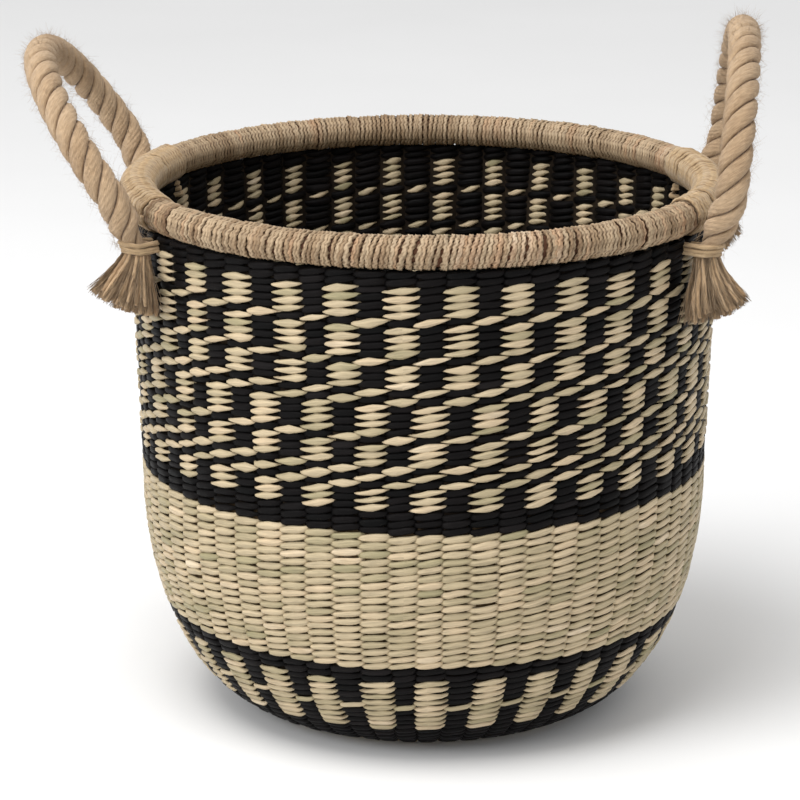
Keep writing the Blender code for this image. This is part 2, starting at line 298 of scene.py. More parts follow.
def grass(name, stops, streak_depth, roughness, specular):
    """Dried grass: a ramp by tone, lines along the strand, and painted shade where strands cross."""
    made = Finish(name)
    tone = made.attribute("tone")
    shade = made.attribute("shade")
    streaks = made.noise(made.stretched(*STREAKS), 3.0, 0.65)
    blotches = made.noise(made.place(60), 2.0)
    colour = made.ramp(tone * 0.8 + blotches * 0.35 - 0.08, stops)
    lines = made.ramp(streaks, ((0.30, (streak_depth,) * 3), (0.62, WHITE)))
    # Painted shade: the colour turns dark red-brown where the per-point shade is low.
    dark = made.ramp(shade, ((0.0, (0.22, 0.15, 0.10)), (0.55, WHITE)))
    colour = made.times(made.times(colour, lines, 0.8), dark)
    made.bump(streaks, 0.0005)
    return made.done(colour, roughness + streaks * 0.12, specular)


def jute(name, stops):
    """Jute: a ramp by tone, hairs along each yarn, and painted shade in the grooves."""
    made = Finish(name)
    tone = made.attribute("tone")
    shade = made.attribute("shade")
    hairs = made.noise(made.stretched(*HAIRS), 3.0, 0.65)
    blotches = made.noise(made.place(260), 4.0, 0.65)
    colour = made.ramp(tone * 0.55 + blotches * 0.5, stops)
    lines = made.ramp(hairs, ((0.28, (0.50, 0.44, 0.38)), (0.66, (1.08, 1.06, 1.02))))
    # Painted shade: the colour turns dark brown in the grooves, where the per-point shade is low.
    dark = made.ramp(shade, ((0.0, (0.24, 0.17, 0.11)), (0.7, WHITE)))
    colour = made.times(made.times(colour, lines, 0.85), dark)
    made.bump(hairs + blotches * 0.8, 0.0008)
    return made.done(colour, 0.92, 0.15, 0.15)


NATURAL = grass("natural_grass", (
    (0.05, (0.33, 0.29, 0.16)), (0.35, (0.44, 0.36, 0.22)),
    (0.62, (0.56, 0.45, 0.29)), (0.80, (0.59, 0.46, 0.295)), (0.97, (0.70, 0.58, 0.41)),
), 0.55, 0.46, 0.35)
BLACK = grass("black_grass", (
    (0.0, (0.002, 0.002, 0.002)), (0.6, (0.005, 0.004, 0.004)), (1.0, (0.012, 0.010, 0.010)),
), 0.50, 0.45, 0.07)
RIM_CORD = grass("rim_cord_grass", (
    (0.0, (0.20, 0.11, 0.055)), (0.3, (0.35, 0.24, 0.14)),
    (0.62, (0.50, 0.375, 0.24)), (0.82, (0.45, 0.28, 0.16)), (1.0, (0.64, 0.52, 0.37)),
), 0.45, 0.55, 0.30)
ROPE = jute("rope_jute", (
    (0.1, (0.36, 0.24, 0.14)), (0.5, (0.50, 0.36, 0.23)), (0.9, (0.62, 0.47, 0.32)),
))
YARN = jute("yarn_jute", (
    (0.1, (0.36, 0.25, 0.14)), (0.5, (0.52, 0.38, 0.23)), (0.9, (0.62, 0.48, 0.31)),
))
TAIL = jute("tail_jute", (
    (0.1, (0.26, 0.16, 0.09)), (0.5, (0.42, 0.29, 0.17)), (0.9, (0.58, 0.43, 0.28)),
))
# Painted shade: undyed stakes are dark brown instead of straw, and dyed ones near black, so that they
# fill the holes between stitches with shade.
STAKE = grass("stake_grass", (
    (0.0, (0.008, 0.006, 0.005)), (1.0, (0.13, 0.085, 0.045)),
), 0.7, 0.8, 0.1)
# Painted shade: the hoop is coloured very dark, so that the gaps between the rim's turns read as
# shaded.
HOOP = grass("hoop_grass", (
    (0.0, (0.05, 0.020, 0.010)), (1.0, (0.13, 0.055, 0.028)),
), 0.6, 0.7, 0.2)
print("finishes:", len(bpy.data.materials))

# %% [markdown]
# ## One mesh maker for everything that is a strand
# Every piece of a basket is long and thin. A strand could be a curve with a bevel, but a curve
# can't swell, flatten or carry a colour of its own at every stitch. So a strand is a grid of
# points: stations along it, and a small closed outline at each station. One function turns many
# such grids into one mesh, with a map of length and round, the tone of each point, and the
# painted shade that darkens each point in creases and grooves.

# %% Strands to mesh
GRAIN_SHIFT = (0.37, 0.013)  # metres, so that no two strands share their grain


def eased(part):
    """The smooth step from 0 to 1: the part squared, times three less two parts."""
    return part * part * (3 - 2 * part)


def strand_mesh(name, points, closed, tone, shade, finish, girth=0.01):
    """Makes one mesh of many strands.

    points has the axes strand, station, outline point, xyz. Neighbouring outlines are joined by
    quads. A closed strand joins its last station to its first, an open one gets flat ends. tone
    has the axes strand, station; the shade is per point, painted shade that darkens the colour,
    and None where nothing darkens the piece.
    """
    strands, stations, sides = points.shape[:3]
    spans = stations if closed else stations - 1
    number = np.arange(strands * stations * sides).reshape(strands, stations, sides)
    here = np.arange(spans)
    there = (here + 1) % stations
    beside = (np.arange(sides) + 1) % sides
    near, far = number[:, here], number[:, there]
    quads = np.stack((near, near[:, :, beside], far[:, :, beside], far), -1).reshape(-1, 4)
    flat = points.reshape(-1, 3)
    a, b, c, d = (flat[quads[:, k]] for k in range(4))
    middle = flat.mean(0)
    volume = ((np.cross(b - a, c - a) + np.cross(c - a, d - a)) * (a - middle)).sum()
    ends = [] if closed else np.concatenate((number[:, 0, ::-1], number[:, -1]))
    centre = points.mean(2)
    step = np.linalg.norm(np.diff(centre, axis=1, append=centre[:, :1]), axis=2)[:, :spans]
    length = np.concatenate((np.zeros((strands, 1)), np.cumsum(step, 1)), 1)
    length += np.arange(strands)[:, None] * GRAIN_SHIFT[0]
    across = np.arange(sides + 1) * girth / sides
    u = np.broadcast_to(length[:, :, None], (strands, spans + 1, sides + 1))
    v = np.broadcast_to(across, u.shape) + np.arange(strands)[:, None, None] * GRAIN_SHIFT[1]
    grid = np.stack((u, v), -1)
    corner = np.stack((grid[:, :-1, :-1], grid[:, :-1, 1:], grid[:, 1:, 1:], grid[:, 1:, :-1]), -2)
    corner = corner.reshape(-1, 4, 2)
    if volume < 0:
        quads, corner = quads[:, ::-1], corner[:, ::-1]
        ends = [] if closed else ends[:, ::-1]
    faces = quads.tolist() + (ends.tolist() if len(ends) else [])
    mesh = bpy.data.meshes.new(name)
    mesh.from_pydata(flat, [], faces)
    spare = np.zeros((len(mesh.loops) - corner.shape[0] * 4, 2))
    layer = mesh.uv_layers.new(name="along_and_round")
    places = np.concatenate((corner.reshape(-1, 2), spare)).astype(np.float32)
    layer.data.foreach_set("uv", places.ravel())
    for key, value in (("tone", tone[..., None]), ("shade", 1.0 if shade is None else shade)):
        stored = mesh.attributes.new(key, "FLOAT", "POINT")
        spread = np.broadcast_to(value, points.shape[:3]).astype(np.float32)
        stored.data.foreach_set("value", spread.ravel())
    mesh.shade_smooth()
    mesh.materials.append(finish)
    made = bpy.data.objects.new(name, mesh)
    bpy.context.scene.collection.objects.link(made)
    triangles = sum(len(face) - 2 for face in faces)
    print(f"{name}: {strands} strands, {triangles} triangles")
    return made


# %% [markdown]
# ## The wall as a place to weave on
# The wall turns round one axis: a flat base, a quarter of an ellipse for the heel, then a
# straight wall that opens a little. A weaver works by row and by stake, so points are given by
# the distance along the profile, the depth below the outside and the angle from the front.

# %% The profile
HEEL_POINTS, WALL_POINTS = 400, 99


def wall_profile():
    """Rows of arc length, radius, height and the outward normal, from the middle of the base.

    Under the base the arc length is negative: it is the distance in from the base's edge.
    """
    turn = np.linspace(pi / 2, 0, HEEL_POINTS)
    reach = WALL_WAIST_RADIUS - BASE_RADIUS
    radius = BASE_RADIUS + reach * np.cos(turn)
    height = HEEL_HEIGHT * (1 - np.sin(turn))
    out, up = HEEL_HEIGHT * np.cos(turn), -reach * np.sin(turn)
    size = np.hypot(out, up)
    part = np.linspace(0, 1, WALL_POINTS + 1)[1:]
    spread, rise = WALL_TOP_RADIUS - WALL_WAIST_RADIUS, WALL_TOP - HEEL_HEIGHT
    slant = np.hypot(spread, rise)
    radius = np.concatenate(([0.0], radius, WALL_WAIST_RADIUS + spread * part))
    height = np.concatenate(([0.0], height, HEEL_HEIGHT + rise * part))
    out = np.concatenate(([0.0], out / size, np.full(WALL_POINTS, rise / slant)))
    up = np.concatenate(([-1.0], up / size, np.full(WALL_POINTS, -spread / slant)))
    gone = np.cumsum(np.hypot(np.diff(radius), np.diff(height)))
    return np.concatenate(([0.0], gone)) - BASE_RADIUS, radius, height, out, up


ARC, RADIUS, HEIGHT, OUT, UP = wall_profile()
WALL_ARC = ARC[-1]


def arc_at(height):
    """Distance along the profile of a height above the floor."""
    return float(np.interp(height, HEIGHT[1:], ARC[1:]))


def on_wall(arc, depth, angle):
    """The point at a distance along the profile, a depth and an angle from the front."""
    radius = np.interp(arc, ARC, RADIUS) - depth * np.interp(arc, ARC, OUT)
    height = np.interp(arc, ARC, HEIGHT) - depth * np.interp(arc, ARC, UP)
    return np.stack((radius * np.sin(angle), -radius * np.cos(angle), height), -1)


print("profile", round(WALL_ARC, 4), "m from the base's edge to the rim")

# %% [markdown]
# ## Twining
# In twining, two strands go round each stake, one outside and one inside, and swap places by a
# half turn in the gap before the next stake. That is a double helix pressed flat. A picture of
# stitches on a smooth wall would look right from one side only, so the helix is modelled: its
# depth is a squared-off cosine, its height a slant that climbs over a stake and falls back behind
# the next, and each strand swells over its stake and narrows where it dives. The inside of the
# basket then comes out right by itself.

# %% Hand-made wander
ROW_DRIFT = 0.0009  # metres
# For each wave round the basket: how many there are, their share, and how fast they lean.
ROW_WAVES = ((2, 0.5, 20), (5, 0.4, 45), (9, 0.34, 110), (16, 0.28, 180), (27, 0.2, 260))
STAKE_DRIFT = 0.10  # of the way to the next stake
STAKE_WAVES = (12.0, 27.0, 55.0)  # radians a metre, up the wall


def waver(angle, arc):
    """A slow drift of the rows up and down, the same for neighbouring rows."""
    draw = np.random.default_rng(3)
    total = 0.0
    for waves, share, rate in ROW_WAVES:
        lean, start = rate * draw.uniform(-1, 1), draw.uniform(0, 2 * pi)
        total = total + share * np.sin(waves * angle + lean * arc + start)
    return ROW_DRIFT * total


def stake_wander(place, arc, stakes):
    """How far each stake leans off its place, smooth up the wall, different at each stake."""
    draw = np.random.default_rng(5)
    total = 0.0
    for waves in STAKE_WAVES:
        start = draw.uniform(0, 2 * pi, stakes)
        weight = draw.normal(0, 1, stakes) * STAKE_DRIFT * (STAKE_WAVES[0] / waves) ** 0.5
        low = np.floor(place).astype(int) % stakes
        high = (low + 1) % stakes
        ease = eased(place - np.floor(place))
        for end, share in ((low, 1 - ease), (high, ease)):
            total = total + share * weight[end] * np.sin(waves * arc + start[end])
    return total / stakes * 2 * pi


# %% Twined rows
STEPS = 7  # stations from one stake to the next
SECTION = np.array([(0.0, 1.0), (0.82, 0.5), (0.82, -0.5), (0.0, -1.0), (-0.82, -0.5), (-0.82, 0.5)])
MIDDLE_DEPTH = WALL_THICKNESS / 2
SWING = 0.0032  # how far a strand swings out from the wall's middle
SNAP = 2.2  # how suddenly it changes sides
TIP_SLIP = 0.16  # how unevenly its stitches are placed
INNER_REACH = 1.08  # outside and inside reach together, in stakes
DEEP, THINNER = 0.0018, 0.00075  # half its depth where it dives, and how much less on top
LIFT, SKEW, BULGE, GROW = 0.00022, 0.00014, 0.00018, 0.14  # how uneven the hand work is

# A kind of strand: how much longer it is outside than inside, how sharp its stitches' tips are,
# its half width where it crosses and what it gains over a stake, as shares of the rows' pitch (the
# gain is first), how far it climbs over a stake, and how far it lies under the surface.
KINDS = {
    "lens": (0.46, 1.04, 0.49, 0.10, 0.00120, 0.0),
    "step": (0.46, 1.04, 0.45, 0.11, 0.00185, 0.0),
    "under": (0.10, 4.0, 0.27, 0.27, 0.00100, 0.0008),
    "plain": (0.36, 1.55, 0.27, 0.25, 0.00135, 0.0),
    "dull": (0.16, 3.0, 0.26, 0.28, 0.00110, 0.0003),
    "link": (0.10, 2.0, 0.22, 0.22, 0.00170, 0.0003),
}


def twined(name, rows, stakes, first_angle, pitch, finish, seed):
    """Strands of many rows, as a closed ring for each.

    rows holds each strand's distance along the profile, whether it is outside on even stakes (0)
    or odd ones (1), and its kind.
    """
    draw = np.random.default_rng(seed)
    arc0 = np.array([row[0] for row in rows])[:, None]
    odd = np.array([row[1] for row in rows])[:, None]
    more, tip, width, neck, rise, sunk = np.array([KINDS[row[2]] for row in rows]).T[..., None]
    place = np.arange(stakes * STEPS)[None] / STEPS
    turn = pi * (place - odd)
    wave = np.cos(turn)
    over = np.tanh(SNAP * (wave + more)) / np.tanh(SNAP * (1 + more))
    reach = 0.5 + 0.38 * more
    pair = (place - odd) / 2
    chance = draw.normal(0, 1, (2, 6, len(rows), stakes // 2))
    outside, inside = (
        [np.take_along_axis(c, stitch(pair).astype(int) % (stakes // 2), 1) for c in numbers]
        for stitch, numbers in zip((np.round, np.floor), chance)
    )
    away, near = (
        np.arccos(np.clip(np.cos(turn - TIP_SLIP * run[5]), -1, 1)) / pi for run in (outside, inside)
    )
    outer = np.clip(1 - (away / reach) ** tip, 0, 1)
    inner = np.clip(1 - ((1 - near) / (INNER_REACH - reach)) ** tip, 0, 1)
    flat = outer + inner
    grow, lift, bulge, tone, skew = (o * outer + i * inner for o, i in zip(outside[:5], inside[:5]))
    tone = np.where(away < reach, outside[3], inside[3])
    angle = 2 * pi * place / stakes + first_angle
    angle = angle + stake_wander(place, arc0, stakes)
    past = (place - odd + 1) % 2 - 1
    back = np.sign(past) * (1 - np.abs(past)) / (1 - reach)
    slope = np.where(np.abs(past) < reach, past / reach, back)
    middle = arc0 + waver(angle, arc0) + rise * slope + LIFT * lift + SKEW * skew * np.sin(2 * turn)
    depth = MIDDLE_DEPTH - SWING * over + sunk * (over > 0) * flat + np.sign(wave) * BULGE * bulge
    half = pitch * (neck + width * (flat + GROW * grow))
    x, y = SECTION[:, 0], SECTION[:, 1]
    thick = DEEP - THINNER * flat
    points = on_wall(
        middle[..., None] + half[..., None] * y,
        depth[..., None] - thick[..., None] * x,
        np.broadcast_to(angle[..., None], (*angle.shape, len(x))),
    )
    own = draw.normal(0, 0.5, (len(rows), 1))
    tones = np.clip(0.5 + 0.20 * tone + 0.16 * own, 0, 1)
    # Painted shade: darker where a strand dives between stakes and along its upper and lower edges.
    shade = np.clip(0.34 + 1.1 * flat, 0, 1)[..., None] * (1 - 0.40 * np.abs(y) ** 2)
    return strand_mesh(name, points, True, tones, shade, finish, 0.012)


# %% [markdown]
# ## The pattern
# Each letter is one row, from the rim down. K is all black. E shows an undyed stitch on every
# even stake, O on every odd one, so a run of the same letter makes a column and a change makes
# the columns step aside. L is an E row with thin undyed stitches between its columns, which ties
# them together. N is undyed all round.

# %% The bands
UPPER_ROWS = "KK" "EEEE" "O" "EEEE" "O" "EEE" "O" "E" "OOOO" "E" "OOO" "E" "O" "E" "OOO" "KKK"
NATURAL_ROWS = "N" * 18
LOWER_ROWS = "KK" "EEEE" "L" "EEEE" "KKKKKKK" "NN"
UPPER_STAKES, LOWER_STAKES = 66, 58
UPPER_ANGLE, LOWER_ANGLE = radians(-0.7), radians(5.75)

# For each letter: the colour and kind of the strand that is outside on even stakes, then odd.
LETTERS = {
    "K": (("dark", "dull"), ("dark", "dull")),
    "E": (("light", "lens"), ("dark", "under")),
    "O": (("dark", "under"), ("light", "step")),
    "N": (("light", "plain"), ("light", "plain")),
    "L": (("light", "lens"), ("light", "link")),
}


def weave_band(name, pattern, low, high, stakes, first_angle, seed):
    """Weaves the rows of one band between two distances along the profile."""
    pitch = (high - low) / len(pattern)
    sorted_rows = {(colour, strand): [] for colour in ("light", "dark") for strand in (0, 1)}
    for number, letter in enumerate(pattern):
        for odd, (colour, kind) in enumerate(LETTERS[letter]):
            strand = int(kind in ("plain", "dull", "link") and odd == 1)
            sorted_rows[colour, strand].append((high - pitch * (number + 0.5), odd, kind))
    made = []
    for number, ((colour, strand), rows) in enumerate(sorted_rows.items()):
        if rows:
            made.append(twined(
                f"{name}_{colour}_strands_{'ab'[strand]}", rows, stakes, first_angle, pitch,
                NATURAL if colour == "light" else BLACK, seed + number,
            ))
    return made


lower_edge, upper_edge = arc_at(NATURAL_BOTTOM), arc_at(NATURAL_TOP)
bands = (
    ("upper_band", UPPER_ROWS, upper_edge, WALL_ARC, UPPER_STAKES, UPPER_ANGLE, 100,
     ("outer_check_band", "inner_check_band"), "checked_weft"),
    ("natural_band", NATURAL_ROWS, lower_edge, upper_edge, UPPER_STAKES, UPPER_ANGLE, 200,
     ("outer_natural_band", "inner_natural_band"), "natural_weft"),
    ("lower_band", LOWER_ROWS, 0.0, lower_edge, LOWER_STAKES, LOWER_ANGLE, 300,
     ("outer_heel_band", "inner_heel_band"), "checked_weft"),
)
for name, pattern, low, high, stakes, first_angle, seed, nodes, slot in bands:
    for piece in weave_band(name, pattern, low, high, stakes, first_angle, seed):
        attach(piece, "basket")
        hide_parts(*nodes)

# %% [markdown]
# ## The base
# A twined base starts from a few crossed stakes, and more are let in as it grows. So the rings
# near the middle have fewer stakes than those near the edge.

# %% Base
BASE_PITCH = 0.0051  # about, from one row to the next
# For each group of rings: how far in from the base's edge it starts and ends, and its stakes.
BASE_RINGS = ((0.0, 0.036, LOWER_STAKES), (0.036, 0.066, 30), (0.066, 0.090, 14))


def weave_base():
    """Three groups of undyed rings, with fewer stakes towards the middle."""
    made = []
    for number, (start, end, stakes) in enumerate(BASE_RINGS):
        count = round((end - start) / BASE_PITCH)
        pitch = (end - start) / count
        for strand in (0, 1):
            rows = [(-start - pitch * (i + 0.5), strand, "plain") for i in range(count)]
            made.append(twined(
                f"base_rings_{number}_{'ab'[strand]}", rows, stakes, LOWER_ANGLE,
                pitch, NATURAL, 400 + 2 * number + strand,
            ))
    return made


def base_heart():
    """The crossed flat stakes in the middle: strips one way over and under strips the other."""
    count, half, wide, thick, swing = 6, 0.0135, 0.0019, 0.0009, 0.0016
    along = np.linspace(-half, half, 25)
    lanes = (np.arange(count) - (count - 1) / 2) * 2 * half / count
    points = []
    for turned in (0, 1):
        for lane, offset in enumerate(lanes):
            sign = 1 - 2 * ((lane + turned) % 2)
            weave = np.cos(pi * (along + half) / (2 * half / count) - pi / 2)
            height = MIDDLE_DEPTH + sign * swing * weave
            strip = np.stack(np.broadcast_arrays(
                along[:, None], offset + wide * SECTION[None, :, 1],
                height[:, None] + thick * SECTION[:, 0],
            ), -1)
            points.append(strip[..., [1, 0, 2]] if turned else strip)
    first, second = np.array(points[:count]), np.array(points[count:])[:, ::-1]
    grid = np.concatenate((first, second))
    tone = np.broadcast_to(np.linspace(0.3, 0.7, 2 * count)[:, None], grid.shape[:2])
    return strand_mesh("base_heart", grid, False, tone, None, NATURAL)


for piece in (*weave_base(), base_heart()):
    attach(piece, "basket")
    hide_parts("outer_base_disc", "inner_base_disc")

# %% [markdown]
# ## The stakes
# The stakes hardly show, but light must not pass through the wall where they stand, and their
# dark edges fill the small holes between stitches with painted shade: they are coloured far darker
# than straw. So each is wide enough to lap its neighbours, which a real stake isn't.

# %% Stakes
STAKE_STATIONS, STAKE_SIDES = 26, 6
STAKE_HALF_WIDTH = 0.72  # of the way to the next stake
STAKE_HALF_DEPTH = 0.0010
STAKE_ENDS = (0.001, 0.003)  # in from the base's edge and from the wall's top
UNDYED_HEEL = 0.02  # how far up the heel the stakes are undyed


def stake_rods():
    """Flat rods up the middle of the wall, one under each stitch, leaning as the stitches do."""
    made = []
    for name, low, high, stakes, first_angle in (
        ("upper_stakes", lower_edge, WALL_ARC - STAKE_ENDS[1], UPPER_STAKES, UPPER_ANGLE),
        ("lower_stakes", STAKE_ENDS[0], lower_edge, LOWER_STAKES, LOWER_ANGLE),
    ):
        arc = np.linspace(low, high, STAKE_STATIONS)[None]
        number = np.broadcast_to(np.arange(stakes)[:, None], (stakes, STAKE_STATIONS))
        angle = 2 * pi * number / stakes + first_angle + stake_wander(number, arc, stakes)
        turn = np.arange(STAKE_SIDES) * 2 * pi / STAKE_SIDES
        points = on_wall(*np.broadcast_arrays(
            arc[..., None],
            MIDDLE_DEPTH + STAKE_HALF_DEPTH * np.cos(turn),
            angle[..., None] + (STAKE_HALF_WIDTH * 2 * pi / stakes) * np.sin(turn),
        ))
        undyed = ((arc > lower_edge) & (arc < upper_edge)) | (arc < UNDYED_HEEL)
        tone = np.broadcast_to(np.where(undyed, 1.0, 0.0), points.shape[:2])
        made.append(strand_mesh(name, points, False, tone, None, STAKE))
    return made


for piece in stake_rods():
    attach(piece, "basket")
    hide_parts("stake_cage")

# %% [markdown]
# ## The wrapped rim
# A thin cord goes round the hoop about four hundred times. It is one helix bent into a ring. Each
# turn is laid by hand, so it sits a little off its place, leans, and is thicker or thinner. Where
# two turns part, the hoop of stake ends inside shows as a dark brown line, coloured dark as painted
# shade. The cord itself is painted darker in its grooves and on its side towards the hoop.

# %% Rim wrap
WRAP_TURNS = 400
WRAP_STATIONS = 34
WRAP_SIDES = 6
CORD_HALF_WIDTH, CORD_HALF_DEPTH = 0.00160, 0.00118
CORD_TWISTS, CORD_GROOVE = 10.0, 0.42  # twists in each turn, and their depth
HOOP_RADIUS = 0.0086
HOOP_STATIONS, HOOP_SIDES = 180, 20


def on_rim(angle, turn, size):
    """The point at an angle round the basket, a turn round the rim's tube and a tube radius."""
    radius = RIM_RADIUS + size * np.cos(turn)
    height = RIM_HEIGHT + size * np.sin(turn)
    x, y = radius * np.sin(angle), -radius * np.cos(angle)
    return np.stack(np.broadcast_arrays(x, y, height), -1)


def per_turn(draw, turns, place, size):
    """A number for each turn, eased from one turn to the next."""
    chance = draw.normal(0, size, turns)
    low = np.floor(place).astype(int) % turns
    ease = eased(place - np.floor(place))
    return chance[low] * (1 - ease) + chance[(low + 1) % turns] * ease


def two_ply(place, twists, wide, thick, depth):
    """A cord's outline at each station: an oval with two lobes that turn as the cord runs.

    Gives how far each point is along the rim and out from it, and how deep in a groove it is.
    """
    corner = np.arange(WRAP_SIDES) * 2 * pi / WRAP_SIDES
    lobe = np.cos(2 * (corner[None] - pi * twists * place[:, None]))
    size = 1 + depth * lobe
    return wide * size * np.cos(corner), thick * size * np.sin(corner), (1 + lobe) / 2


def wrap_rim():
    """One cord as a helix round the hoop, closed on itself."""
    draw = np.random.default_rng(21)
    place = np.arange(WRAP_TURNS * WRAP_STATIONS) / WRAP_STATIONS
    turn = 2 * pi * place
    pitch = 2 * pi / WRAP_TURNS
    angle = pitch * place + pitch * per_turn(draw, WRAP_TURNS, place, 0.16)
    lean = 0.6 * np.sin(3 * pitch * place + 1.0) + 0.6 + per_turn(draw, WRAP_TURNS, place, 0.42)
    bow = per_turn(draw, WRAP_TURNS, place, 0.20) * np.cos(turn - 0.3) ** 2
    angle = angle + pitch * (0.5 * lean * np.sin(turn - 0.6) + bow)
    wide = CORD_HALF_WIDTH * (1 + per_turn(draw, WRAP_TURNS, place, 0.12))[:, None]
    size = WRAP_RADIUS - CORD_HALF_DEPTH + per_turn(draw, WRAP_TURNS, place, 0.00030)
    x, y, groove = two_ply(place, CORD_TWISTS, wide, CORD_HALF_DEPTH, CORD_GROOVE)
    points = on_rim(angle[:, None] + x / RIM_RADIUS, turn[:, None], size[:, None] + y)
    patch = 0.20 * np.sin(2 * angle + 1.3) * np.sin(5 * angle + 0.4)
    tone = np.clip(0.5 + patch + per_turn(draw, WRAP_TURNS, place, 0.20), 0, 1)
    # Painted shade: dark in the grooves between plies and on the cord's side towards the hoop.
    shade = np.clip((0.12 + 0.88 * groove) * (0.44 + 0.70 * y / CORD_HALF_DEPTH), 0, 1)
    return strand_mesh("rim_cord", points[None], True, tone[None], shade, RIM_CORD, 0.008)


def hoop():
    """The bundle inside the wrap: one plain ring that shows as brown between the turns, its dark colour
    painted shade.
    """
    angle = np.arange(HOOP_STATIONS)[:, None] * 2 * pi / HOOP_STATIONS
    turn = np.arange(HOOP_SIDES) * 2 * pi / HOOP_SIDES
    grain = 0.5 + 0.5 * np.sin(7 * angle[:, 0])
    points = on_rim(angle, turn, HOOP_RADIUS)
    return strand_mesh("rim_hoop", points[None], True, grain[None], None, HOOP, 0.05)


for piece, node, slot in ((wrap_rim(), "rim_wrap", "rim_cord"), (hoop(), "rim_core_hoop", "hoop")):
    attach(piece, "basket")
    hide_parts(node)

# %% [markdown]
# ## The handles
# A handle is one length of three-strand rope. It is lashed to the wall below the rim, leans out,
# and bends over in a squared-off arch. The rope is stiff, so its middle line is an arch by
# formula and not a hanging curve. Its strands are three helices round that line, and each strand
# has ridges for its own yarns, twisted the other way.

# %% Handle lines
ROPE_RADIUS = 0.010
WAIST_RADIUS = 0.0066
LOOP_HEIGHT = 0.086
LOOP_SQUARENESS = 2.15
LEAN = {"left": radians(34), "right": radians(5.5)}
LEG_LEAN = radians(24)
JOINTS = {joint["child"]: joint for joint in frame["joints"]}
ARCH_POINTS = 161
TUCK = 0.28  # how far the rope runs on below its lashing's middle, as a share of its leg
LINE_STEP = 0.0015
LINE_EASE = 8  # points that a corner is eased over, either side


def unit(vectors):
    """Vectors in the same directions, all of length 1."""
    return vectors / np.linalg.norm(vectors, axis=-1, keepdims=True)


def facing(point):
    """Two level directions at a point: out from the basket, and round it."""
    angle = float(np.arctan2(point[0], -point[1]))
    return np.array([sin(angle), -cos(angle), 0.0]), np.array([cos(angle), sin(angle), 0.0])


def outline(corner, first, second):
    """Directions round a strand: the cos of a turn one way and the sin of it the other way."""
    first, second = first[..., None, :], second[..., None, :]
    return np.cos(corner)[..., None] * first + np.sin(corner)[..., None] * second


def handle_frame(side):
    """The hinge, and the directions out from the basket and along the hinge."""
    hinge = np.array(JOINTS[f"{side}_handle"]["pos_m"], float)
    return hinge, *facing(hinge)


def box_middle(node):
    """The middle of a CAD node's box."""
    low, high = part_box(node)
    return np.array((low + high) / 2)


def resample(line, step):
    """Evenly spaced points along a line, and their distances from its start."""
    gone = np.concatenate(([0.0], np.cumsum(np.linalg.norm(np.diff(line, axis=0), axis=1))))
    count = int(gone[-1] / step) + 1
    want = np.linspace(0, gone[-1], count)
    return np.stack([np.interp(want, gone, line[:, k]) for k in range(3)], 1), want


def smoothed(line, reach):
    """A line with its corners eased over some points either side, its ends kept."""
    kernel = np.hanning(2 * reach + 3)[1:-1]
    kernel /= kernel.sum()
    padded = np.concatenate((
        2 * line[:1] - line[reach:0:-1], line, 2 * line[-1:] - line[-2:-reach - 2:-1],
    ))
    return np.stack([np.convolve(padded[:, k], kernel, "valid") for k in range(3)], 1)


def handle_line(side):
    """The rope's middle line, from inside one lashing over the arch to inside the other.

    The arch is a superellipse: across is cos and height is sin of a turn, each to the power of
    two over the squareness.
    """
    hinge, out, along = handle_frame(side)
    lean = LEAN[side]
    legs = sorted(
        (box_middle(f"{side}_{spot}_lashing") for spot in ("front", "back")),
        key=lambda leg: float(leg @ along),
    )
    ring = np.hypot(legs[0][0], legs[0][1]) + (hinge[2] - legs[0][2]) * np.tan(LEG_LEAN)
    half_span = np.sqrt(ring ** 2 - hinge[0] ** 2 - hinge[1] ** 2)
    power = 2 / LOOP_SQUARENESS
    turn = np.linspace(pi, 0, ARCH_POINTS)
    across = half_span * np.sign(np.cos(turn)) * np.abs(np.cos(turn)) ** power
    up = LOOP_HEIGHT * np.sin(turn).clip(0) ** power
    arch_up = out * np.sin(lean) + np.array([0, 0, np.cos(lean)])
    arch = hinge + np.outer(across, along) + np.outer(up, arch_up)
    down = [leg + (leg - top) * TUCK for leg, top in zip(legs, (arch[0], arch[-1]))]
    line = np.concatenate(([down[0], legs[0]], arch, [legs[1], down[1]]))
    even, _ = resample(line, LINE_STEP)
    return resample(smoothed(even, LINE_EASE), LINE_STEP)


def carried_frame(line):
    """Two directions square to a line that turn with it as little as they can."""
    tangent = unit(np.gradient(line, axis=0))
    first = np.empty_like(line)
    first[0] = unit(np.cross(tangent[0], [0.0, 0.0, 1.0]))
    for i in range(1, len(line)):
        first[i] = unit(first[i - 1] - tangent[i] * (first[i - 1] @ tangent[i]))
    return first, np.cross(tangent, first)


# %% Rope strands
ROPE_LAY = 0.0445
ROPE_STRANDS = 3
ROPE_SIDES = 36
BACK_POINTS = 5  # of a strand's sides, those near the rope's axis
YARN_RIDGES, YARN_RELIEF, YARN_TWIST = 3, 0.018, 6.0
SQUEEZED, SWELLING = 0.016, 0.013  # the length held thin by a lashing, then back to full
HAIR_COUNT = 3200
HAIR_LENGTH = (0.003, 0.009)
HAIR_RADIUS = 0.00011


def rope_sizes(gone):
    """The rope's radius along its length: squeezed in its lashings at both ends."""
    end = np.minimum(gone, gone[-1] - gone)
    full = eased(np.clip((end - SQUEEZED) / SWELLING, 0, 1))
    return WAIST_RADIUS + (ROPE_RADIUS - WAIST_RADIUS) * full


